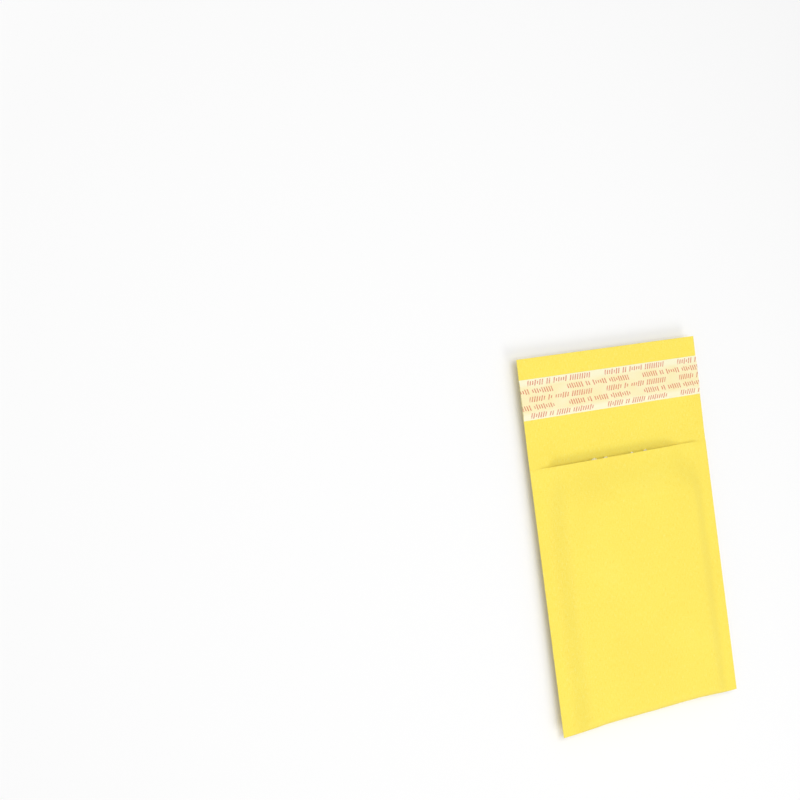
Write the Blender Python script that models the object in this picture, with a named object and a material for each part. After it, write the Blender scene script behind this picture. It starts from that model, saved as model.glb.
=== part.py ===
"""A small padded envelope of yellow kraft paper, empty, lying on its back with the flap open.

One sheet of paper is folded over at the bottom and glued to itself down both sides, which makes a
pouch. The back panel runs on past the pouch's mouth as the flap. A folded film of air bubbles lines
the pouch, and the flap's inner face carries a band of glue under a peel-off strip.

+X runs across the envelope, +Y from the bottom fold to the flap, and +Z up out of the front panel.
The origin is on the surface that the envelope lies on, under the middle of its length and width.
Sizes are in metres.
"""
import math

import bmesh
import bpy
from mathutils import Matrix, Vector

# The paper sheet
ENVELOPE_WIDTH = 0.110      # between the side edges
POUCH_LENGTH = 0.1288       # bottom fold to mouth
FLAP_LENGTH = 0.0532        # mouth to the flap's free edge
PAPER_THICKNESS = 0.00025
SEAM_WIDTH = 0.0046         # glued strip down each side
SHOULDER_WIDTH = 0.0124     # the padding slopes down to the seam over this width
FOLD_PULL_IN = 0.0011       # the plump middle of the bottom fold ends this far inside its corners
FOLD_CORNER_WIDTH = 0.034   # from a corner to where the fold is pulled in fully
MOUTH_CLOSE_IN = 0.0016     # each padded panel comes this much nearer the other at the mouth
MOUTH_CLOSE_LENGTH = 0.014  # length of the pouch over which it does
FLAP_FLATTENS_IN = 0.036    # the flap loses the hollow of the back panel over this length
FLAP_LIFT = 0.0006          # rise of the free edge above the seams

# The bubble film
POCKET_HEIGHT = 0.0043      # free height between the two films
FILM_THICKNESS = 0.0002
FILM_WELD_WIDTH = 0.0015    # where the two films are joined at each side
FILM_SETBACK = 0.001        # the film ends this far inside the paper's edge at the mouth
BUBBLE_DIAMETER = 0.010
BUBBLE_TOP_DIAMETER = 0.0084
BUBBLE_HEIGHT = 0.0018
BUBBLE_PITCH = 0.012

# The closure on the flap
RELEASE_WIDTH = 0.0195      # height of the peel-off strip on the flap
RELEASE_MARGIN = 0.010      # bare paper between the strip and the flap's free edge
RELEASE_THICKNESS = 0.0002
GLUE_WIDTH = 0.013
GLUE_THICKNESS = 0.0003

# Gap between pieces that are laminated or stuck on the real envelope
CLEARANCE = 0.0003

# How finely the curved stretches are divided
SHOULDER_STEPS = 6
PANEL_STEPS = 8
MOUTH_STEPS = 4
FOLD_STEPS = 8
FLAP_STEPS = 10
BAND_STEPS = 4
BUBBLE_SIDES = 10

# Vertices that meet at one place are welded within this distance
WELD_DISTANCE = 0.000001

# Sizes that follow
WALL_STACK = PAPER_THICKNESS + CLEARANCE + BUBBLE_HEIGHT + FILM_THICKNESS
SEAM_LEVEL = POCKET_HEIGHT / 2 + WALL_STACK
HALF_WIDTH = ENVELOPE_WIDTH / 2
SEAM_X = HALF_WIDTH - SEAM_WIDTH
FLAT_X = SEAM_X - SHOULDER_WIDTH
FLAP_EDGE_Y = (POUCH_LENGTH + FLAP_LENGTH) / 2
MOUTH_Y = FLAP_EDGE_Y - FLAP_LENGTH
FOLD_Y = -FLAP_EDGE_Y

BACK_ANGLE = -math.pi / 2
FRONT_ANGLE = math.pi / 2


def steps(first, last, count):
    """Evenly spaced values from first to last, both included."""
    return [first + (last - first) * i / count for i in range(count + 1)]


def ease(t):
    """A smooth step from 0 to 1, level at both ends."""
    return (1 - math.cos(math.pi * min(max(t, 0.0), 1.0))) / 2


def ease_inverse(value):
    """The t at which ease(t) reaches value."""
    return math.acos(1 - 2 * value) / math.pi


def paper_half_height(x, from_mouth):
    """From the seam level to the outer face of a panel."""
    closed_in = MOUTH_CLOSE_IN * ease(1 - from_mouth / MOUTH_CLOSE_LENGTH)
    rise = SEAM_LEVEL - PAPER_THICKNESS - closed_in
    return PAPER_THICKNESS + rise * ease((SEAM_X - abs(x)) / SHOULDER_WIDTH)


def paper_fold_end(x):
    """The lowest y of the bottom fold: the padded middle is pulled in from the corners."""
    return FOLD_Y + FOLD_PULL_IN * ease((HALF_WIDTH - abs(x)) / FOLD_CORNER_WIDTH)


# The film's side edge lies where the paper leaves just enough room for both films at the mouth
FILM_EDGE_SHARE = (FILM_THICKNESS + CLEARANCE) / (SEAM_LEVEL - PAPER_THICKNESS - MOUTH_CLOSE_IN)
FILM_EDGE_X = SEAM_X - SHOULDER_WIDTH * ease_inverse(FILM_EDGE_SHARE)
FILM_WELD_X = FILM_EDGE_X - FILM_WELD_WIDTH


def film_half_height(x, from_mouth):
    """The film is level inside, and runs down beside the paper's shoulder to its weld."""
    under_paper = paper_half_height(FILM_EDGE_X, from_mouth) - FILM_THICKNESS
    beside_paper = paper_half_height(abs(x) + FILM_WELD_WIDTH, from_mouth) - under_paper
    return min(POCKET_HEIGHT / 2 + FILM_THICKNESS, max(beside_paper, FILM_THICKNESS))


def film_fold_end(x):
    """The film's fold nests in the paper's, a bubble's height inside it where there is room."""
    inside = paper_half_height(x, POUCH_LENGTH) - film_half_height(x, POUCH_LENGTH)
    return paper_fold_end(x) + inside


def flap_top(x, along):
    """Height of the flap's inner face, at a distance along it from the mouth."""
    hollow = paper_half_height(x, 0.0) - PAPER_THICKNESS
    lift = FLAP_LIFT * (along / FLAP_LENGTH) ** 2
    return SEAM_LEVEL + lift - hollow * ease(1 - along / FLAP_FLATTENS_IN)


def sheet_columns(edge_x, seam_x, flat_x, panel_steps):
    """x of the lines that run along a pouch: side edge, seam, shoulder and level middle."""
    right = steps(flat_x, seam_x, SHOULDER_STEPS) + [edge_x]
    left = [-x for x in reversed(right)]
    return left + steps(-flat_x, flat_x, panel_steps)[1:-1] + right


def pouch_path():
    """The way of a folded sheet: distance from the mouth, which ends in the fold, and angle there."""
    near_mouth = steps(0.0, MOUTH_CLOSE_LENGTH, MOUTH_STEPS)
    back = [(from_mouth, BACK_ANGLE) for from_mouth in near_mouth]
    fold = [(POUCH_LENGTH, angle) for angle in steps(BACK_ANGLE, FRONT_ANGLE, FOLD_STEPS)]
    front = [(from_mouth, FRONT_ANGLE) for from_mouth in reversed(near_mouth)]
    return back + fold + front


def pouch_rows(bm, columns, half_height, fold_end, mouth_y, inset):
    """Rows of vertices on one face of a folded sheet, from the back's mouth edge to the front's."""
    rows = []
    for from_mouth, angle in pouch_path():
        row = []
        for x in columns:
            radius = half_height(x, from_mouth) - inset
            fold_centre_y = fold_end(x) + half_height(x, POUCH_LENGTH)
            y = max(mouth_y - from_mouth, fold_centre_y) - radius * math.cos(angle)
            row.append(bm.verts.new((x, y, SEAM_LEVEL + radius * math.sin(angle))))
        rows.append(row)
    return rows


def skin(bm, rows):
    """Quads between neighbouring rows of vertices."""
    for low, high in zip(rows, rows[1:]):
        for i in range(len(low) - 1):
            bm.faces.new((low[i], low[i + 1], high[i + 1], high[i]))


def plain_material(name, colour, roughness):
    """A Principled material with one colour."""
    material = bpy.data.materials.new(name)
    material.use_nodes = True
    shader = material.node_tree.nodes["Principled BSDF"]
    shader.inputs["Base Color"].default_value = (*colour, 1.0)
    shader.inputs["Roughness"].default_value = roughness
    shader.inputs["Metallic"].default_value = 0.0
    return material


def finished_object(name, bm, material):
    """Welds the mesh, turns its faces outwards and puts it into the scene."""
    bmesh.ops.remove_doubles(bm, verts=bm.verts, dist=WELD_DISTANCE)
    bmesh.ops.recalc_face_normals(bm, faces=bm.faces)
    mesh = bpy.data.meshes.new(name)
    bm.to_mesh(mesh)
    bm.free()
    mesh.materials.append(material)
    mesh.shade_smooth()
    mesh.set_sharp_from_angle(angle=math.radians(40))
    piece = bpy.data.objects.new(name, mesh)
    bpy.context.scene.collection.objects.link(piece)
    return piece


def make_kraft_outer():
    """The folded paper sheet: pouch, seams and flap in one piece."""
    bm = bmesh.new()
    columns = sheet_columns(HALF_WIDTH, SEAM_X, FLAT_X, PANEL_STEPS)
    shape = (paper_half_height, paper_fold_end, MOUTH_Y)
    outer = pouch_rows(bm, columns, *shape, 0.0)
    # The panels are one thickness of glued paper in the seams, so the inner face stops there
    inner = pouch_rows(bm, columns[1:-1], *shape, PAPER_THICKNESS)

    under = []
    over = []
    for along in steps(FLAP_LENGTH, 0.0, FLAP_STEPS)[:-1]:
        y = MOUTH_Y + along
        under.append([bm.verts.new((x, y, flap_top(x, along) - PAPER_THICKNESS)) for x in columns])
        over.append([bm.verts.new((x, y, flap_top(x, along))) for x in columns])
    edge_of_seam = [bm.verts.new((x, MOUTH_Y, SEAM_LEVEL)) for x in (-HALF_WIDTH, HALF_WIDTH)]
    over.append([edge_of_seam[0]] + inner[0] + [edge_of_seam[1]])

    skin(bm, under + outer)
    skin(bm, over)
    skin(bm, inner)
    # The free edge of the flap, and the front panel's edge at the mouth
    skin(bm, [under[0], over[0]])
    skin(bm, [outer[-1], [edge_of_seam[0]] + inner[-1] + [edge_of_seam[1]]])
    # The side edges, each one flat outline round flap, back, fold and front
    for side in (0, -1):
        outline = [row[side] for row in under + outer] + [row[side] for row in reversed(over)]
        bm.faces.new(outline)
    kraft = plain_material("yellow_kraft_paper", (1.0, 0.72, 0.10), 0.75)
    return finished_object("kraft_outer", bm, kraft)


def bubble_centres():
    """Places of the bubbles on one panel, in staggered rows clear of shoulders, fold and mouth."""
    reach_x = FLAT_X - BUBBLE_TOP_DIAMETER / 2
    low_y = paper_fold_end(0.0) + SEAM_LEVEL + BUBBLE_DIAMETER / 2
    high_y = MOUTH_Y - MOUTH_CLOSE_LENGTH - BUBBLE_TOP_DIAMETER / 2
    row_pitch = BUBBLE_PITCH * math.sin(math.pi / 3)
    rows = int((high_y - low_y) / row_pitch) + 1
    start_y = high_y - row_pitch * (rows - 1)
    in_row = int(2 * reach_x / BUBBLE_PITCH) + 1
    centres = []
    for row in range(rows):
        count = in_row - row % 2
        for i in range(count):
            x = BUBBLE_PITCH * (i - (count - 1) / 2)
            centres.append((x, start_y + row_pitch * row))
    return centres


def make_bubbles(material):
    """All bubbles as short blunt cones, standing from the middle of the film's thickness."""
    bm = bmesh.new()
    depth = BUBBLE_HEIGHT + FILM_THICKNESS / 2
    middle = POCKET_HEIGHT / 2 + FILM_THICKNESS / 2 + depth / 2
    radii = (BUBBLE_DIAMETER / 2, BUBBLE_TOP_DIAMETER / 2)
    for x, y in bubble_centres():
        for side in (-1, 1):
            low_radius, high_radius = radii[::side]
            place = Matrix.Translation(Vector((x, y, SEAM_LEVEL + side * middle)))
            bmesh.ops.create_cone(bm, cap_ends=True, segments=BUBBLE_SIDES, radius1=low_radius,
                                  radius2=high_radius, depth=depth, matrix=place)
    bubbles = finished_object("bubbles_to_join", bm, material)
    bubbles.hide_render = True
    bubbles.display_type = "WIRE"
    return bubbles


def make_bubble_liner():
    """The folded film: flat inside, with bubbles outwards to the paper."""
    bm = bmesh.new()
    columns = sheet_columns(FILM_EDGE_X, FILM_WELD_X, FILM_WELD_X - SHOULDER_WIDTH, 1)
    shape = (film_half_height, film_fold_end, MOUTH_Y - FILM_SETBACK)
    outer = pouch_rows(bm, columns, *shape, 0.0)
    # The two films are one in the welds, so the inner face stops there
    inner = pouch_rows(bm, columns[1:-1], *shape, FILM_THICKNESS)
    skin(bm, outer)
    skin(bm, inner)
    # Both edges at the mouth
    for end in (0, -1):
        skin(bm, [outer[end][1:-1], inner[end]])
    for side, seam in ((0, 0), (-1, -1)):
        weld = 1 if side == 0 else -2
        bm.faces.new((outer[0][side], outer[0][weld], inner[0][seam], outer[-1][weld], outer[-1][side]))
        bm.faces.new([row[side] for row in outer])
    film = plain_material("clear_bubble_film", (0.86, 0.88, 0.86), 0.25)
    liner = finished_object("bubble_liner", bm, film)
    join = liner.modifiers.new("bubbles", "BOOLEAN")
    join.operation = "UNION"
    join.solver = "EXACT"
    join.object = make_bubbles(film)
    return liner


def make_flap_band(name, low, width, lift, thickness, material):
    """A thin band across the flap, following its inner face at a height above it."""
    bm = bmesh.new()
    rows = []
    for along in steps(low, low + width, BAND_STEPS):
        row = []
        for x in sheet_columns(HALF_WIDTH, SEAM_X, FLAT_X, PANEL_STEPS):
            row.append(bm.verts.new((x, MOUTH_Y + along, flap_top(x, along) + lift)))
        rows.append(row)
    skin(bm, rows)
    raised = bmesh.ops.extrude_face_region(bm, geom=list(bm.faces))
    top = [item for item in raised["geom"] if isinstance(item, bmesh.types.BMVert)]
    bmesh.ops.translate(bm, verts=top, vec=(0.0, 0.0, thickness))
    return finished_object(name, bm, material)


def make_closure():
    """The band of glue on the flap and the peel-off strip that covers it."""
    release_low = FLAP_LENGTH - RELEASE_MARGIN - RELEASE_WIDTH
    glue_low = release_low + (RELEASE_WIDTH - GLUE_WIDTH) / 2
    glue = plain_material("hot_melt_glue", (0.90, 0.84, 0.62), 0.35)
    make_flap_band("adhesive_strip", glue_low, GLUE_WIDTH, CLEARANCE, GLUE_THICKNESS, glue)
    release = plain_material("release_paper", (0.97, 0.92, 0.70), 0.5)
    over_glue = CLEARANCE + GLUE_THICKNESS + CLEARANCE
    make_flap_band("release_liner", release_low, RELEASE_WIDTH, over_glue, RELEASE_THICKNESS, release)


def main():
    for old in list(bpy.data.objects):
        bpy.data.objects.remove(old)
    make_kraft_outer()
    make_bubble_liner()
    make_closure()


main()
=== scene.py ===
# %% [markdown]
# # A small padded envelope
# The real thing is one sheet of yellow paper with bubble film laminated inside it. The sheet is folded over
# at the bottom and glued down both sides, and its back runs on as a flap with a band of glue under a peel-off
# strip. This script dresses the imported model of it. Paper is thin and stiff, so it is modelled here as a flat
# blank that is folded in code, and not as a block: that gives true edges, seams and folds from every side.

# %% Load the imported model
import math

import bmesh
import bpy
from mathutils import Matrix, Vector, noise


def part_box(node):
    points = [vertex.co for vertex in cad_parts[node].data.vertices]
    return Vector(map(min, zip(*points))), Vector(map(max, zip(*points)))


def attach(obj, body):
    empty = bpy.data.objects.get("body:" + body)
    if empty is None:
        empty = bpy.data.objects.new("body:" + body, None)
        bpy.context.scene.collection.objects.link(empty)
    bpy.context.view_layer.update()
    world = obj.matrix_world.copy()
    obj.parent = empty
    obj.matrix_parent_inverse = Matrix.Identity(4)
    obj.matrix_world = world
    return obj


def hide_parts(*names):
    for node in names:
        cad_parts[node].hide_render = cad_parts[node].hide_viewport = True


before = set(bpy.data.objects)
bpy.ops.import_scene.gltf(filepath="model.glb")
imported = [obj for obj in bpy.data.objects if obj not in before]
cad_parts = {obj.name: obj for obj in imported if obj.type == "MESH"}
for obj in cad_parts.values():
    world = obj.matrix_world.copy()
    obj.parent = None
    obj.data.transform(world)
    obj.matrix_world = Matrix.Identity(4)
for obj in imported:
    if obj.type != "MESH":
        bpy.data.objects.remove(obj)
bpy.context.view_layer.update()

print("nodes:", sorted(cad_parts))

# %% [markdown]
# ## Sizes
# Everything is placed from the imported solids, so a new size there moves the finish as well. The boxes of the
# four nodes give the width, the fold, the mouth and the flap. What no box can tell, such as the width of a
# seam, is a named value in metres.

# %% Sizes from the frame
paper_low, paper_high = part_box("kraft_outer")
film_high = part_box("bubble_liner")[1]
release_low, release_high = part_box("release_liner")
glue_low, glue_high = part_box("adhesive_strip")

FILM_SETBACK = 0.001
SEAM_WIDTH = 0.0046
SHOULDER_WIDTH = 0.0124
FOLD_PULL_IN = 0.0011
FOLD_CORNER_WIDTH = 0.034
# The mouth is nearly shut, further than in the solids, whose pocket is kept free
MOUTH_CLOSE_IN = 0.0029
MOUTH_CLOSE_LENGTH = 0.022
FLAP_FLATTENS_IN = 0.036
FLAP_LIFT = 0.0006
PAPER = 0.00015
SEAM_GLUE = 0.00001

HALF_WIDTH = (paper_high.x - paper_low.x) / 2
SEAM_X = HALF_WIDTH - SEAM_WIDTH
FLAT_X = SEAM_X - SHOULDER_WIDTH
SEAM_LEVEL = paper_high.z / 2
FOLD_Y = paper_low.y
MOUTH_Y = film_high.y + FILM_SETBACK
FLAP_LENGTH = paper_high.y - MOUTH_Y
PANEL_LENGTH = MOUTH_Y - FOLD_Y - SEAM_LEVEL
FOLD_LENGTH = math.pi * SEAM_LEVEL
SHEET_LENGTH = FLAP_LENGTH + PANEL_LENGTH + FOLD_LENGTH + PANEL_LENGTH
print(f"sheet {2000 * HALF_WIDTH:.0f} x {1000 * SHEET_LENGTH:.0f} mm, mouth at y {1000 * MOUTH_Y:.1f} mm")

# %% [markdown]
# ## The form of the padding
# Seen from its end, the pouch is level in the middle and slopes down over a shoulder to the glued seam at
# each side. At the mouth the two panels come nearer each other, because the seams hold them there, and the
# ends of the mouth are pinched together. One function gives half the thickness at any place, and the paper
# and the film are both folded round it, so they nest.


# %% Cross-section and bottom fold
def ease(t):
    """A smooth step from 0 to 1."""
    t = min(max(t, 0.0), 1.0)
    return (1 - math.cos(math.pi * t)) / 2


def bell(distance, width):
    """1 at no distance, falling smoothly to 0."""
    return math.exp(-((distance / width) ** 2))


SEAM_HALF = PAPER + SEAM_GLUE
# The ends of the mouth are pinched together from these places outwards, more so on the right
PINCH_LEFT = 0.0355
PINCH_RIGHT = 0.0285
PINCH_WIDTH = 0.013
PINCH_LENGTH = 0.026
PINCHED_HALF = 0.00045


def half_height(x, from_mouth):
    """From the level of the seams to the outer face of the paper."""
    closed_in = MOUTH_CLOSE_IN * ease(1 - from_mouth / MOUTH_CLOSE_LENGTH)
    rise = SEAM_LEVEL - SEAM_HALF - closed_in
    padded = SEAM_HALF + rise * ease((SEAM_X - abs(x)) / SHOULDER_WIDTH)
    pinch_start = PINCH_RIGHT if x > 0 else PINCH_LEFT
    pinch = ease(1 - from_mouth / PINCH_LENGTH) * ease((abs(x) - pinch_start) / PINCH_WIDTH)
    return padded + pinch * (min(padded, PINCHED_HALF) - padded)


def fold_end(x):
    """The bottom fold's lowest y: its plump middle is pulled in from the corners."""
    return FOLD_Y + FOLD_PULL_IN * ease((HALF_WIDTH - abs(x)) / FOLD_CORNER_WIDTH)


# %% [markdown]
# ## Bubbles and wrinkles
# Bubble film is a lattice of round blisters in staggered rows. Its pattern is pressed faintly into the paper
# from inside. New paper also has a slow unevenness, soft puckers along the seams where the padding starts,
# and a few short creases where hands and machines have pinched it: at the corners of the bottom fold, at the
# ends of the mouth and at the left of the flap.

# %% Bubble lattice
BUBBLE_PITCH = 0.012
BUBBLE_RADIUS = 0.005
BUBBLE_HEIGHT = 0.0018
ROW_PITCH = BUBBLE_PITCH * math.sin(math.pi / 3)
FIRST_ROW = 0.002
# Share of a bubble's radius over which it rises
BUBBLE_SLOPE = 0.42


def bubble(across, along):
    """Height of the bubble film at a place on it, from 0 between bubbles to 1 on top of one."""
    best = 1.0
    row_low = math.floor((along - FIRST_ROW) / ROW_PITCH)
    for row in (row_low, row_low + 1):
        shift = BUBBLE_PITCH / 2 if row % 2 else 0.0
        column = round((across - shift) / BUBBLE_PITCH)
        gap_x = across - shift - column * BUBBLE_PITCH
        gap_y = along - FIRST_ROW - row * ROW_PITCH
        best = min(best, math.hypot(gap_x, gap_y) / BUBBLE_RADIUS)
    return ease((1 - best) / BUBBLE_SLOPE)


# %% Unevenness of the paper
# Stretches the noise to between about -1 and 1
NOISE_STRETCH = 1.6


def slow(x, y, size, seed):
    """Smooth unevenness between about -1 and 1, in lumps of a given size. The seed picks the pattern."""
    return NOISE_STRETCH * noise.noise(Vector((x / size, y / size, seed)))


CREASES = (
    # start and end on the front, in shares of half the width and in metres from the mouth,
    # then width and depth
    ((-0.90, 0.128), (-0.66, 0.116), 0.0013, 0.00016),
    ((0.90, 0.128), (0.64, 0.117), 0.0013, 0.00016),
    ((0.86, 0.118), (0.78, 0.100), 0.0011, 0.00010),
    ((0.50, 0.127), (0.44, 0.117), 0.0014, 0.00010),
    ((-0.25, 0.127), (-0.20, 0.119), 0.0014, 0.00008),
    ((0.90, 0.0016), (0.68, 0.0022), 0.0010, -0.00024),
    ((-0.86, -0.001), (-0.74, 0.010), 0.0010, 0.00014),
)
# A crease loses this share of its depth by its end
CREASE_FADES = 0.7


def crease(across, along):
    """How far the creases dent the front panel at a place on it."""
    dent = 0.0
    for (start_share, start_along), (end_share, end_along), width, depth in CREASES:
        start = Vector((start_share * HALF_WIDTH, start_along))
        line = Vector((end_share * HALF_WIDTH, end_along)) - start
        reach = (Vector((across, along)) - start).dot(line) / line.length_squared
        held = min(max(reach, 0.0), 1.0)
        away = (Vector((across, along)) - start - line * held).length
        dent -= depth * bell(away, width) * (1 - CREASE_FADES * held)
    return dent


# %% Relief of the padding and of the flap
CROWN = 0.00022
BROAD_LUMPS = 0.00010
BROAD_SIZE = 0.036
SMALL_LUMPS = 0.00003
SMALL_SIZE = 0.013
PRESSED_BUBBLES = 0.00008
PUCKERS = 0.00007
PUCKER_SIZE = 0.0085
# The puckers' distance from the seam and the width of their band, as shares of the shoulder
PUCKER_PLACE = 0.4
PUCKER_BAND = 0.6


def padding_relief(x, from_mouth):
    """Unevenness of a padded panel, outwards from the pouch."""
    inside = ease((SEAM_X - abs(x)) / SHOULDER_WIDTH)
    beside_seam = bell(abs(x) - SEAM_X + PUCKER_PLACE * SHOULDER_WIDTH, PUCKER_BAND * SHOULDER_WIDTH)
    crown = -CROWN * min(1.0, (x / FLAT_X) ** 2)
    broad = BROAD_LUMPS * slow(x, from_mouth, BROAD_SIZE, 3.1)
    small = SMALL_LUMPS * slow(x, from_mouth, SMALL_SIZE, 7.7)
    lumps = broad + small
    pressed = PRESSED_BUBBLES * bubble(x, from_mouth) * ease(from_mouth / MOUTH_CLOSE_LENGTH)
    puckers = PUCKERS * beside_seam * slow(x, from_mouth, PUCKER_SIZE, 1.3 if x > 0 else 5.9)
    return inside * (crown + lumps + pressed) + puckers


FLAP_FREE_IN = 0.02
FLAP_WAVE = 0.00025
FLAP_WAVE_SIZE = 0.045
FLAP_RIPPLE = 0.00004
FLAP_RIPPLE_SIZE = 0.011
# A handled patch at the left of the flap: its middle, its reach each way, and its relief
HANDLED_X = -0.036
HANDLED_FROM_MOUTH = 0.013
HANDLED_WIDTH = 0.018
HANDLED_LENGTH = 0.013
HANDLED_RELIEF = 0.00012
HANDLED_SIZE = 0.0065


def flap_relief(x, from_mouth):
    """Unevenness of the flap, which is a single sheet and curls a little."""
    free = ease(from_mouth / FLAP_FREE_IN)
    curl = FLAP_WAVE * slow(x, from_mouth, FLAP_WAVE_SIZE, 11.0)
    ripple = FLAP_RIPPLE * slow(x, from_mouth, FLAP_RIPPLE_SIZE, 4.2)
    wave = curl + ripple
    handled = bell(x - HANDLED_X, HANDLED_WIDTH) * bell(from_mouth - HANDLED_FROM_MOUTH, HANDLED_LENGTH)
    return free * wave + HANDLED_RELIEF * handled * slow(x, from_mouth, HANDLED_SIZE, 8.8)


# %% [markdown]
# ## The folded paper
# A plain grid is the blank. Its flat coordinates are kept as the UV map, in metres, so fibres and print
# follow the sheet round its fold. Each point is then carried to its place: along the flap, under the back
# panel, round the bottom fold and up the front panel. Solidify gives the sheet its thickness, and its rim
# gets the paler colour of cut paper.


# %% From a place on the blank to a place in space
def outer_face(x, from_mouth, relief):
    """Half the thickness with its unevenness, which leaves room for the film where the panels nearly meet."""
    even = half_height(x, from_mouth)
    return max(even + relief, min(even, PINCHED_HALF))


def flap_level(x, from_mouth):
    """Height of the flap's outer face, which loses the hollow of the back panel as it goes."""
    hollow = half_height(x, 0.0) - SEAM_HALF
    lift = FLAP_LIFT * (from_mouth / FLAP_LENGTH) ** 2
    return SEAM_LEVEL - SEAM_HALF + lift - hollow * ease(1 - from_mouth / FLAP_FLATTENS_IN)


def round_fold(x, share, angle, radius, mouth_y):
    """A place on a pouch: share of the way to the fold's centre line, then an angle round it."""
    centre_y = fold_end(x) + half_height(x, PANEL_LENGTH)
    y = mouth_y + (centre_y - mouth_y) * share - radius * math.cos(angle)
    return Vector((x, y, SEAM_LEVEL + radius * math.sin(angle)))


def folded_paper(x, along):
    """The outer face of the paper at a place on its blank."""
    if along < FLAP_LENGTH:
        from_mouth = FLAP_LENGTH - along
        level = flap_level(x, from_mouth) + flap_relief(x, from_mouth)
        return Vector((x, MOUTH_Y + from_mouth, level))
    along -= FLAP_LENGTH
    if along < PANEL_LENGTH:
        radius = outer_face(x, along, 0.5 * min(0.0, padding_relief(x, along)))
        return round_fold(x, along / PANEL_LENGTH, -math.pi / 2, radius, MOUTH_Y)
    along -= PANEL_LENGTH
    if along < FOLD_LENGTH:
        turn = along / FOLD_LENGTH
        radius = outer_face(x, PANEL_LENGTH, padding_relief(x, PANEL_LENGTH) * ease(turn))
        return round_fold(x, 1.0, math.pi * (turn - 0.5), radius, MOUTH_Y)
    from_mouth = PANEL_LENGTH - (along - FOLD_LENGTH)
    radius = outer_face(x, from_mouth, padding_relief(x, from_mouth) + crease(x, from_mouth))
    return round_fold(x, from_mouth / PANEL_LENGTH, math.pi / 2, radius, MOUTH_Y)


# %% Helpers that make a blank and turn it into a piece
def flat_blank(width, length, spacing):
    """A grid in the plane: x across from the middle, y along from 0, with its coordinates as UVs."""
    blank = bmesh.new()
    columns = round(width / spacing)
    rows = round(length / spacing)
    bmesh.ops.create_grid(blank, x_segments=columns, y_segments=rows, size=0.5)
    bmesh.ops.scale(blank, verts=blank.verts, vec=(width, length, 1.0))
    bmesh.ops.translate(blank, verts=blank.verts, vec=(0.0, length / 2, 0.0))
    uv_map = blank.loops.layers.uv.new("blank")
    for face in blank.faces:
        for corner in face.loops:
            corner[uv_map].uv = corner.vert.co.xy
    return blank


def bend(blank, place):
    """Carries every vertex of a blank to its place in space."""
    for vertex in blank.verts:
        vertex.co = place(vertex.co.x, vertex.co.y)


def make_piece(name, mesh_code, materials, body="root"):
    """A mesh object at the origin, shaded smooth, riding on its body."""
    mesh = bpy.data.meshes.new(name)
    mesh_code.to_mesh(mesh)
    mesh_code.free()
    for material in materials:
        mesh.materials.append(material)
    mesh.shade_smooth()
    piece = bpy.data.objects.new(name, mesh)
    bpy.context.scene.collection.objects.link(piece)
    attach(piece, body)
    print(f"{name}: {len(mesh.polygons)} faces before its thickness")
    return piece


SHARP_EDGE = math.radians(50)


def thicken(piece, thickness, rim_material=0):
    """Gives a sheet its thickness, inwards from the face that was modelled, and keeps its cut edge sharp."""
    wall = piece.modifiers.new("thickness", "SOLIDIFY")
    wall.thickness = thickness
    wall.offset = -1.0
    wall.material_offset_rim = rim_material
    evaluated = piece.evaluated_get(bpy.context.evaluated_depsgraph_get())
    thick_mesh = bpy.data.meshes.new_from_object(evaluated)
    thick_mesh.name = piece.name
    piece.modifiers.clear()
    piece.data = thick_mesh
    thick_mesh.set_sharp_from_angle(angle=SHARP_EDGE)
    print(f"{piece.name}: {len(thick_mesh.polygons)} faces with its thickness")


# %% [markdown]
# ## Materials in nodes
# A few short helpers keep the node trees readable: one adds a node and sets its values, one feeds it, and one
# does arithmetic. All patterns on the envelope read the blank's own UVs, in metres.


# %% Node helpers
def new_material(name):
    """A material with its Principled shader, as (material, node tree, shader)."""
    material = bpy.data.materials.new(name)
    material.use_nodes = True
    return material, material.node_tree, material.node_tree.nodes["Principled BSDF"]


def add(tree, kind, **settings):
    """Adds a node and sets its properties."""
    node = tree.nodes.new(kind)
    for key, value in settings.items():
        setattr(node, key, value)
    return node


def feed(tree, socket, value):
    """Sets a socket to a number or colour, or links it to another socket."""
    if isinstance(value, bpy.types.NodeSocket):
        tree.links.new(value, socket)
    else:
        socket.default_value = value


def maths(tree, operation, *values):
    """One step of arithmetic on numbers or sockets."""
    node = add(tree, "ShaderNodeMath", operation=operation)
    for socket, value in zip(node.inputs, values):
        feed(tree, socket, value)
    return node.outputs[0]


def blank_uv(tree, scale=(1.0, 1.0, 1.0), turn=0.0):
    """The sheet's flat coordinates, times a scale."""
    uv = add(tree, "ShaderNodeUVMap", uv_map="blank")
    mapping = add(tree, "ShaderNodeMapping")
    mapping.inputs["Scale"].default_value = scale
    mapping.inputs["Rotation"].default_value = (0.0, 0.0, turn)
    tree.links.new(uv.outputs[0], mapping.inputs["Vector"])
    return mapping.outputs[0]


def cloudy(tree, vector, scale, detail=3.0, roughness=0.5):
    """Noise from 0 to 1 in lumps of 1 / scale."""
    node = add(tree, "ShaderNodeTexNoise")
    feed(tree, node.inputs["Vector"], vector)
    feed(tree, node.inputs["Scale"], scale)
    feed(tree, node.inputs["Detail"], detail)
    feed(tree, node.inputs["Roughness"], roughness)
    return node.outputs["Fac"]


def spread(tree, value, low, high, new_low=0.0, new_high=1.0):
    """Maps a range onto another, held inside it."""
    node = add(tree, "ShaderNodeMapRange")
    for key, number in (("From Min", low), ("From Max", high), ("To Min", new_low), ("To Max", new_high)):
        node.inputs[key].default_value = number
    feed(tree, node.inputs["Value"], value)
    return node.outputs["Result"]


def blend_colours(tree, share, first, second):
    """A mix of two colours."""
    node = add(tree, "ShaderNodeMix", data_type="RGBA")
    feed(tree, node.inputs["Factor"], share)
    feed(tree, node.inputs["A"], first)
    feed(tree, node.inputs["B"], second)
    return node.outputs["Result"]


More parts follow.
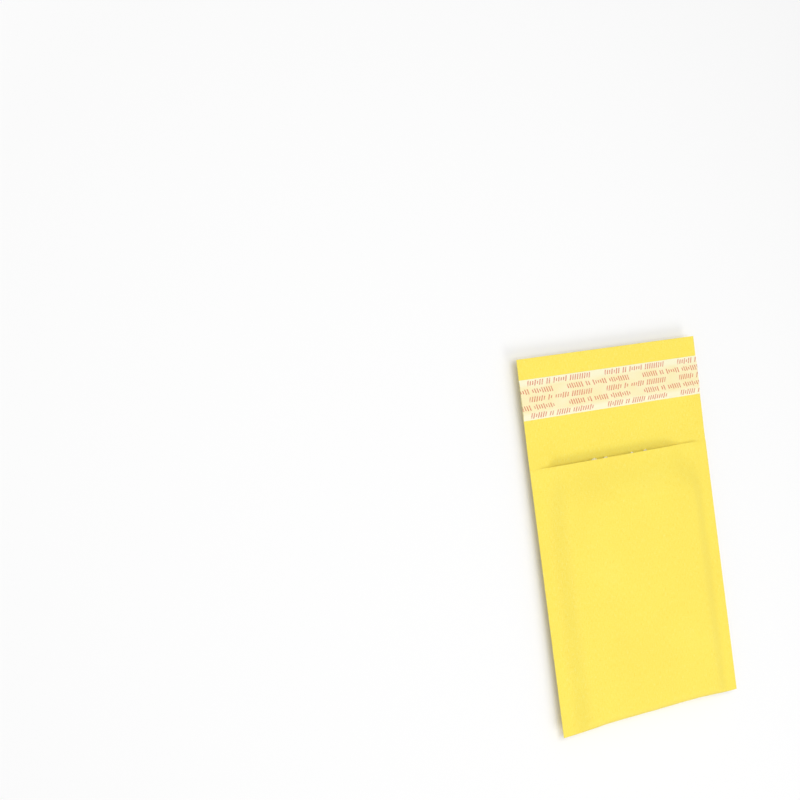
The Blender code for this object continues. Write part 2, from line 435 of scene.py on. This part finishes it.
def bumps(tree, height, distance, strength=1.0, below=None):
    """Turns a height from 0 to 1 into relief of that distance in metres."""
    node = add(tree, "ShaderNodeBump")
    node.inputs["Strength"].default_value = strength
    node.inputs["Distance"].default_value = distance
    feed(tree, node.inputs["Height"], height)
    if below is not None:
        feed(tree, node.inputs["Normal"], below)
    return node.outputs[0]


# %% [markdown]
# ## Yellow paper
# The paper is dyed right through and smoothed on one side, so it is matt with a faint sheen. Close up it is a
# felt of long fibres, mostly along the web. Three scales are used: cloudy colour a few centimetres wide, a
# slow cockle of about six millimetres in the relief, and streaks of fibres about two millimetres long in both
# the colour and the relief.

# %% Make the paper materials
YELLOW = (0.985, 0.812, 0.112, 1.0)
YELLOW_DEEP = (0.965, 0.755, 0.100, 1.0)
YELLOW_PALE = (0.990, 0.850, 0.185, 1.0)
CUT_EDGE = (0.985, 0.850, 0.300, 1.0)
FIBRE_DARK = (0.930, 0.680, 0.050, 1.0)
FIBRE_PALE = (1.000, 0.900, 0.300, 1.0)
# Lumps in a metre: of the clouds, of the cockle, and of the fibres across and along the web
CLOUDS = 26.0
COCKLES = 160.0
FIBRES = (2600.0, 420.0, 1.0)
CROSSED_FIBRES = (700.0, 2400.0, 1.0)
CROSSED_TURN = 0.5
COCKLE_DEPTH = 0.00009
FELT_DEPTH = 0.00008


def make_paper(name, base):
    """Fibrous paper of a base colour."""
    material, tree, shader = new_material(name)
    clouds = cloudy(tree, blank_uv(tree), CLOUDS, 2.0, 0.5)
    tint = blend_colours(tree, spread(tree, clouds, 0.25, 0.65, 0.45, 1.0), YELLOW_DEEP, base)
    tint = blend_colours(tree, spread(tree, clouds, 0.62, 0.9, 0.0, 0.35), tint, YELLOW_PALE)
    fibres = cloudy(tree, blank_uv(tree, FIBRES), 1.0, 2.0, 0.6)
    crossed = cloudy(tree, blank_uv(tree, CROSSED_FIBRES, CROSSED_TURN), 1.0, 2.0, 0.6)
    felt = maths(tree, "MULTIPLY_ADD", fibres, 0.6, maths(tree, "MULTIPLY", crossed, 0.4))
    tint = blend_colours(tree, spread(tree, felt, 0.34, 0.48, 0.55, 0.0), tint, FIBRE_DARK)
    tint = blend_colours(tree, spread(tree, felt, 0.54, 0.68, 0.0, 0.60), tint, FIBRE_PALE)
    feed(tree, shader.inputs["Base Color"], tint)
    feed(tree, shader.inputs["Roughness"], spread(tree, felt, 0.3, 0.7, 0.58, 0.72))
    shader.inputs["Specular IOR Level"].default_value = 0.35
    cockle = bumps(tree, cloudy(tree, blank_uv(tree), COCKLES, 2.0), COCKLE_DEPTH, 0.6)
    feed(tree, shader.inputs["Normal"], bumps(tree, felt, FELT_DEPTH, 0.7, cockle))
    return material


paper_material = make_paper("yellow_paper_face", YELLOW)
edge_material = make_paper("yellow_paper_cut_edge", CUT_EDGE)
print("paper materials:", paper_material.name, edge_material.name)

# %% Make the folded paper
PAPER_SPACING = 0.0011

blank = flat_blank(2 * HALF_WIDTH, SHEET_LENGTH, PAPER_SPACING)
bend(blank, folded_paper)
paper = make_piece("paper_pouch_and_flap", blank, [paper_material, edge_material])
thicken(paper, PAPER, rim_material=1)
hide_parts("kraft_outer")

# %% [markdown]
# ## Bubble film
# Bubble film is two films: a level one that faces the pocket, and one with blisters that faces the paper.
# The pair is folded with the paper. From above only its cut edge shows at the mouth, where four small tongues
# of it stand out past the paper, but it is made all the way down because the pocket can be looked into.

# %% Fold of the film
FILM = 0.00006
FILM_HALF_WIDTH = film_high.x
FILM_WELD_WIDTH = 0.0015
# This lift and this gap are wider than the facets' error, so that no two of the thin sheets cross
FILM_SEALED = 0.00014
FILM_GAP = 0.00010
FILM_TO_PAPER = 0.0003
FILM_LEVEL = film_high.z - SEAM_LEVEL - BUBBLE_HEIGHT
# Where the film stands out past the paper at the mouth: middle, width and height of each tongue
PEEKS = (
    (-0.0176, 0.0024, 0.0017),
    (-0.0109, 0.0019, 0.0017),
    (0.0060, 0.0016, 0.0018),
    (0.0142, 0.0016, 0.0019),
)


def room_in_paper(x, from_mouth):
    """From the seam level to the paper's inner face, where the paper is dented most."""
    dent = min(0.0, padding_relief(x, from_mouth) + min(0.0, crease(x, from_mouth)))
    return outer_face(x, from_mouth, dent) - PAPER


def film_half(x, from_mouth):
    """From the seam level to the level film."""
    beside_paper = half_height(abs(x) + FILM_WELD_WIDTH, from_mouth) - PAPER - FILM_TO_PAPER
    under_paper = room_in_paper(x, from_mouth) - FILM_SEALED - FILM_GAP
    return max(2 * FILM, min(FILM_LEVEL, beside_paper, under_paper))


RAGGED = 0.00016
RAGGED_SIZE = 0.0024
BACK_WAVE = 0.0004
BACK_WAVE_SIZE = 0.017
TORN = 0.55
TORN_SIZE = 0.0011
EDGE_BLENDS_IN = 0.006


def film_edge(x, on_front):
    """How far the film's edge at the mouth stands past its setback."""
    ragged = RAGGED * slow(x, 0.0, RAGGED_SIZE, 2.4)
    if not on_front:
        return ragged + BACK_WAVE * slow(x, 0.0, BACK_WAVE_SIZE, 6.6)
    torn = 1.0 + TORN * slow(x, 0.0, TORN_SIZE, 9.3)
    return ragged + torn * sum(height * bell(x - middle, width) for middle, width, height in PEEKS)


FILM_MOUTH_Y = MOUTH_Y - FILM_SETBACK
FILM_PANEL = FILM_MOUTH_Y - FOLD_Y - SEAM_LEVEL
FILM_TURN = math.pi * FILM_LEVEL
FILM_LENGTH = 2 * FILM_PANEL + FILM_TURN


def folded_film(x, along, lift):
    """A place on the film, at a height above the level film towards the paper."""
    on_front = along > FILM_LENGTH / 2
    from_mouth = min(along, FILM_LENGTH - along)
    radius = film_half(x, from_mouth) + lift
    if from_mouth < FILM_PANEL:
        angle = math.pi / 2 if on_front else -math.pi / 2
        share = from_mouth / FILM_PANEL
    else:
        angle = math.pi * ((along - FILM_PANEL) / FILM_TURN - 0.5)
        share = 1.0
    place = round_fold(x, share, angle, radius, FILM_MOUTH_Y)
    place.y += film_edge(x, on_front) * (1 - ease(from_mouth / EDGE_BLENDS_IN))
    return place


def level_film(x, along):
    """The film that faces the pocket."""
    return folded_film(x, along, 0.0)


def blistered_film(x, along):
    """The film that faces the paper, lifted in bubbles as far as the paper leaves room."""
    from_mouth = min(along, FILM_LENGTH - along)
    room = room_in_paper(x, from_mouth) - film_half(x, from_mouth)
    height = max(FILM_SEALED, min(BUBBLE_HEIGHT, room - FILM_GAP))
    return folded_film(x, along, FILM_SEALED + (height - FILM_SEALED) * bubble(x, from_mouth))


# %% Make the film
FILM_MILKY = (0.97, 0.91, 0.60, 1.0)
FILM_PALE = (0.99, 0.95, 0.75, 1.0)
FILM_OPACITY = 0.48


def make_film_material():
    """Clear soft plastic film, a little milky."""
    material, tree, shader = new_material("clear_bubble_film")
    haze = cloudy(tree, blank_uv(tree), 260.0, 2.0)
    milky = blend_colours(tree, haze, FILM_MILKY, FILM_PALE)
    feed(tree, shader.inputs["Base Color"], milky)
    feed(tree, shader.inputs["Roughness"], spread(tree, haze, 0.2, 0.8, 0.14, 0.28))
    shader.inputs["IOR"].default_value = 1.45
    shader.inputs["Specular IOR Level"].default_value = 0.4
    shader.inputs["Alpha"].default_value = FILM_OPACITY
    feed(tree, shader.inputs["Normal"], bumps(tree, haze, 0.0001, 0.4))
    return material


film_material = make_film_material()
FILM_SPACING = 0.00085
LEVEL_SPACING = 1.5 * FILM_SPACING

film_blank = flat_blank(2 * FILM_HALF_WIDTH, FILM_LENGTH, FILM_SPACING)
bend(film_blank, blistered_film)
blisters = make_piece("bubble_film_blisters", film_blank, [film_material])
thicken(blisters, FILM)

level_blank = flat_blank(2 * FILM_HALF_WIDTH, FILM_LENGTH, LEVEL_SPACING)
bend(level_blank, level_film)
level = make_piece("bubble_film_level", level_blank, [film_material])
thicken(level, FILM)

for sheet in (blisters, level):
    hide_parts("bubble_liner")

# %% [markdown]
# ## Glue band and peel-off strip
# The band of hot-melt glue lies on the flap under a strip of waxed paper. The strip is thin enough that the
# glue shows through it as a yellower middle. It is printed in five staggered rows. Here the print is a plain
# pattern of slanted ticks in groups, every other row leaning the other way.

# %% Bands that follow the flap
GLUE_THICKNESS = 0.00018
RELEASE_THICKNESS = 0.00007
BAND_SPACING = 0.0011
# The rest of the glue's height is its gap to the paper
GLUE_SOLID = GLUE_THICKNESS * 0.9
# The strip's height over the paper and over the glue, and the width over which it climbs
STRIP_OVER_PAPER = 0.00012
STRIP_OVER_BAND = 0.00010
STRIP_CLIMB = 0.0032
STRIP_RIPPLE = 0.00009
STRIP_RIPPLE_SIZE = 0.010
STRIP_WRINKLE = 0.00004
STRIP_WRINKLE_SIZE = 0.004


def on_flap(x, from_mouth, above):
    """A place above the flap's inner face."""
    level = flap_level(x, from_mouth) + flap_relief(x, from_mouth) + PAPER + above
    return Vector((x, MOUTH_Y + from_mouth, level))


def make_band(name, low, high, above, materials):
    """A thin band across the flap from low.y to high.y, its upper face at a height above the paper."""
    band = flat_blank(2 * HALF_WIDTH, high.y - low.y, BAND_SPACING)
    first = low.y - MOUTH_Y
    bend(band, lambda x, along: on_flap(x, first + along, above(x, along)))
    return make_piece(name, band, materials)


def release_above(x, along):
    """The strip lies over the glue, comes down near the paper at its long edges, and is not quite flat."""
    width = release_high.y - release_low.y
    from_edge = min(along, width - along)
    over_glue = ease(from_edge / STRIP_CLIMB)
    wide = STRIP_RIPPLE * slow(x, along, STRIP_RIPPLE_SIZE, 15.0)
    ripple = wide + STRIP_WRINKLE * slow(x, along, STRIP_WRINKLE_SIZE, 19.0)
    return STRIP_OVER_PAPER + (GLUE_THICKNESS + STRIP_OVER_BAND) * over_glue + max(0.0, ripple)


# %% Glue and strip materials
GLUE_HONEY = (0.90, 0.74, 0.36, 1.0)
STRIP_CREAM = (0.970, 0.925, 0.640, 1.0)
STRIP_OVER_GLUE = (0.955, 0.845, 0.470, 1.0)
PRINT_RED = (0.70, 0.145, 0.080, 1.0)

PRINT_ROWS = 5
GROUP_PITCH = 0.0465
GROUP_LENGTH = 0.0375
FIRST_GROUP = 0.0045
TICK_PITCH = 0.00142
TICK_WIDTH = 0.00066
TICK_HEIGHT = 0.0026
SHORTEST_TICK = 0.0013
TICK_LEAN = 0.35
BLANK_TICKS = (7.0, 10.0, 17.0)


def make_glue_material():
    """Honey-coloured hot-melt glue with a wavy surface."""
    material, tree, shader = new_material("hot_melt_glue")
    waves = cloudy(tree, blank_uv(tree), 320.0, 2.0)
    feed(tree, shader.inputs["Base Color"], blend_colours(tree, waves, GLUE_HONEY, STRIP_CREAM))
    shader.inputs["Roughness"].default_value = 0.28
    feed(tree, shader.inputs["Normal"], bumps(tree, waves, 0.0002, 0.5))
    return material


def printed_ticks(tree, width):
    """1 where the print is: rows of slanted ticks in groups, with short gaps inside a group."""
    uv = add(tree, "ShaderNodeSeparateXYZ")
    feed(tree, uv.inputs[0], blank_uv(tree))
    across, along = uv.outputs[0], uv.outputs[1]
    row_pitch = width / PRINT_ROWS
    rows = maths(tree, "DIVIDE", along, row_pitch)
    row = maths(tree, "FLOOR", rows)
    odd = maths(tree, "FLOORED_MODULO", row, 2.0)
    from_middle = maths(tree, "MULTIPLY", maths(tree, "SUBTRACT", maths(tree, "FRACT", rows), 0.5), row_pitch)

    shift = maths(tree, "MULTIPLY", odd, GROUP_PITCH / 2)
    from_first = maths(tree, "ADD", across, HALF_WIDTH - FIRST_GROUP + GROUP_PITCH)
    in_pitch = maths(tree, "FLOORED_MODULO", maths(tree, "SUBTRACT", from_first, shift), GROUP_PITCH)
    lean = maths(tree, "MULTIPLY", maths(tree, "SUBTRACT", odd, 0.5), 2.0 * TICK_LEAN)
    slanted = maths(tree, "MULTIPLY_ADD", from_middle, lean, in_pitch)
    from_group_middle = maths(tree, "SUBTRACT", slanted, GROUP_LENGTH / 2)
    in_group = maths(tree, "LESS_THAN", maths(tree, "ABSOLUTE", from_group_middle), GROUP_LENGTH / 2)

    tick_number = maths(tree, "FLOOR", maths(tree, "DIVIDE", slanted, TICK_PITCH))
    inked = in_group
    for blank_tick in BLANK_TICKS:
        is_blank = maths(tree, "COMPARE", tick_number, blank_tick, 0.1)
        inked = maths(tree, "MULTIPLY", inked, maths(tree, "SUBTRACT", 1.0, is_blank))

    drawn = add(tree, "ShaderNodeTexWhiteNoise", noise_dimensions="2D")
    place = add(tree, "ShaderNodeCombineXYZ")
    feed(tree, place.inputs[0], tick_number)
    feed(tree, place.inputs[1], row)
    feed(tree, drawn.inputs["Vector"], place.outputs[0])
    tall = spread(tree, drawn.outputs["Value"], 0.0, 0.6, SHORTEST_TICK / 2, TICK_HEIGHT / 2)
    in_row = maths(tree, "LESS_THAN", maths(tree, "ABSOLUTE", from_middle), tall)

    in_tick = maths(tree, "FLOORED_MODULO", slanted, TICK_PITCH)
    tick = maths(tree, "MULTIPLY", maths(tree, "LESS_THAN", in_tick, TICK_WIDTH), in_row)
    return maths(tree, "MULTIPLY", tick, inked)


def make_release_material(width, glue_width):
    """Waxed cream paper over glue, with its print."""
    material, tree, shader = new_material("release_paper_printed")
    uv = add(tree, "ShaderNodeSeparateXYZ")
    feed(tree, uv.inputs[0], blank_uv(tree))
    from_middle = maths(tree, "ABSOLUTE", maths(tree, "SUBTRACT", uv.outputs[1], width / 2))
    grain = cloudy(tree, blank_uv(tree), 900.0, 3.0, 0.6)
    blotches = cloudy(tree, blank_uv(tree), 90.0, 3.0)
    over_glue = spread(tree, from_middle, glue_width / 2 - 0.001, glue_width / 2 + 0.001, 1.0, 0.0)
    over_glue = maths(tree, "MULTIPLY", over_glue, spread(tree, blotches, 0.3, 0.6, 0.45, 1.0))
    paper_tint = blend_colours(tree, over_glue, STRIP_CREAM, STRIP_OVER_GLUE)
    ink = maths(tree, "MULTIPLY", printed_ticks(tree, width), spread(tree, grain, 0.32, 0.5, 0.50, 0.86))
    feed(tree, shader.inputs["Base Color"], blend_colours(tree, ink, paper_tint, PRINT_RED))
    feed(tree, shader.inputs["Roughness"], spread(tree, grain, 0.3, 0.7, 0.36, 0.46))
    shader.inputs["Specular IOR Level"].default_value = 0.5
    feed(tree, shader.inputs["Normal"], bumps(tree, blotches, 0.0001, 0.35, bumps(tree, grain, 0.00002, 0.4)))
    return material


# %% Make the bands
glue_material = make_glue_material()
glue = make_band("glue_band", glue_low, glue_high, lambda x, along: GLUE_THICKNESS, [glue_material])
thicken(glue, GLUE_SOLID)
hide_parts("adhesive_strip")

release_material = make_release_material(release_high.y - release_low.y, glue_high.y - glue_low.y)
release = make_band("peel_off_strip", release_low, release_high, release_above, [release_material])
thicken(release, RELEASE_THICKNESS)
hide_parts("release_liner")

# %% [markdown]
# ## Floor, light and camera
# The floor is pale and keeps the envelope's soft shadow. Where the floor and the world are seen themselves
# they glow a little more, which makes the background white without more light on the paper. A large soft lamp
# hangs almost overhead, a little to the left and towards the flap, so that less shade falls at the mouth. A
# weaker one beyond the bottom fold keeps the fold and the right shoulder bright, and the world fills the rest
# evenly. The camera has the photograph's place over the envelope: its position and the point it looks at are
# real sizes.

# %% Floor
FLOOR_SIZE = 8.0
FLOOR_GAP = 0.0001
FLOOR_GREY = (0.86, 0.86, 0.86, 1.0)
WHITE = (1.0, 1.0, 1.0, 1.0)
# The floor's own glow where it is seen: weak round the envelope, to keep its shadow, and strong far away
GLOW_GROWS = (0.35, 1.7)
FLOOR_GLOW = (0.12, 0.60)


def seen_share(tree):
    """1 for rays that the camera, a gloss or a clear film sends out, and 0 for the rest."""
    path = add(tree, "ShaderNodeLightPath")
    seen = maths(tree, "MAXIMUM", path.outputs["Is Camera Ray"], path.outputs["Is Glossy Ray"])
    return maths(tree, "MAXIMUM", seen, path.outputs["Is Transmission Ray"])


def make_floor():
    """A wide pale floor a hair under the envelope."""
    ground = bmesh.new()
    bmesh.ops.create_grid(ground, x_segments=1, y_segments=1, size=FLOOR_SIZE / 2)
    bmesh.ops.translate(ground, verts=ground.verts, vec=(0.0, 0.0, -FLOOR_GAP))
    mesh = bpy.data.meshes.new("pale_floor")
    ground.to_mesh(mesh)
    ground.free()
    floor = bpy.data.objects.new("pale_floor", mesh)
    bpy.context.scene.collection.objects.link(floor)
    material, tree, shader = new_material("pale_floor")
    shader.inputs["Base Color"].default_value = FLOOR_GREY
    shader.inputs["Roughness"].default_value = 0.9
    shader.inputs["Specular IOR Level"].default_value = 0.0
    place = add(tree, "ShaderNodeTexCoord")
    distance = add(tree, "ShaderNodeVectorMath", operation="LENGTH")
    feed(tree, distance.inputs[0], place.outputs["Object"])
    glow = spread(tree, distance.outputs["Value"], *GLOW_GROWS, *FLOOR_GLOW)
    shader.inputs["Emission Color"].default_value = WHITE
    feed(tree, shader.inputs["Emission Strength"], maths(tree, "MULTIPLY", seen_share(tree), glow))
    mesh.materials.append(material)


make_floor()
print("floor:", FLOOR_SIZE, "m wide")

# %% Light
WORLD_STRENGTH = 0.40


def make_world():
    """Even light from all round, which looks white where it is seen itself."""
    world = bpy.data.worlds.new("soft_studio")
    world.use_nodes = True
    tree = world.node_tree
    background = tree.nodes["Background"]
    background.inputs["Color"].default_value = WHITE
    strength = maths(tree, "MULTIPLY_ADD", seen_share(tree), 1.0 - WORLD_STRENGTH, WORLD_STRENGTH)
    feed(tree, background.inputs["Strength"], strength)
    bpy.context.scene.world = world


def make_lamp(name, place, size, power):
    """A soft round lamp that points at the envelope."""
    data = bpy.data.lights.new(name, "AREA")
    data.shape = "DISK"
    data.size = size
    data.energy = power
    lamp = bpy.data.objects.new(name, data)
    lamp.location = place
    lamp.rotation_mode = "QUATERNION"
    lamp.rotation_quaternion = (-place).to_track_quat("-Z", "Y")
    bpy.context.scene.collection.objects.link(lamp)


make_world()
make_lamp("soft_key", Vector((-0.22, 0.18, 1.2)), 1.1, 8.75)
make_lamp("soft_fill", Vector((0.40, -0.90, 0.80)), 0.6, 3.8)
print("lamps:", [lamp.name for lamp in bpy.data.lights])

# %% Camera
CAMERA_PLACE = Vector((-0.4873, 0.0977, 0.6316))
CAMERA_AIM = Vector((-0.1181, 0.0799, 0.0))
CAMERA_UP = Vector((0.1234, 0.9914, 0.0442))
CAMERA_LENS = 72.0
SENSOR_WIDTH = 36.0

forward = (CAMERA_AIM - CAMERA_PLACE).normalized()
right = forward.cross(CAMERA_UP).normalized()
up = right.cross(forward)
camera_data = bpy.data.cameras.new("camera")
camera_data.lens = CAMERA_LENS
camera_data.sensor_width = SENSOR_WIDTH
camera = bpy.data.objects.new("camera", camera_data)
turned = Matrix((right, up, -forward)).transposed().to_4x4()
camera.matrix_world = Matrix.Translation(CAMERA_PLACE) @ turned
bpy.context.scene.collection.objects.link(camera)
bpy.context.scene.camera = camera
bpy.context.scene.view_settings.view_transform = "Standard"
print(f"camera: {1000 * (CAMERA_AIM - CAMERA_PLACE).length:.0f} mm from the point it looks at")
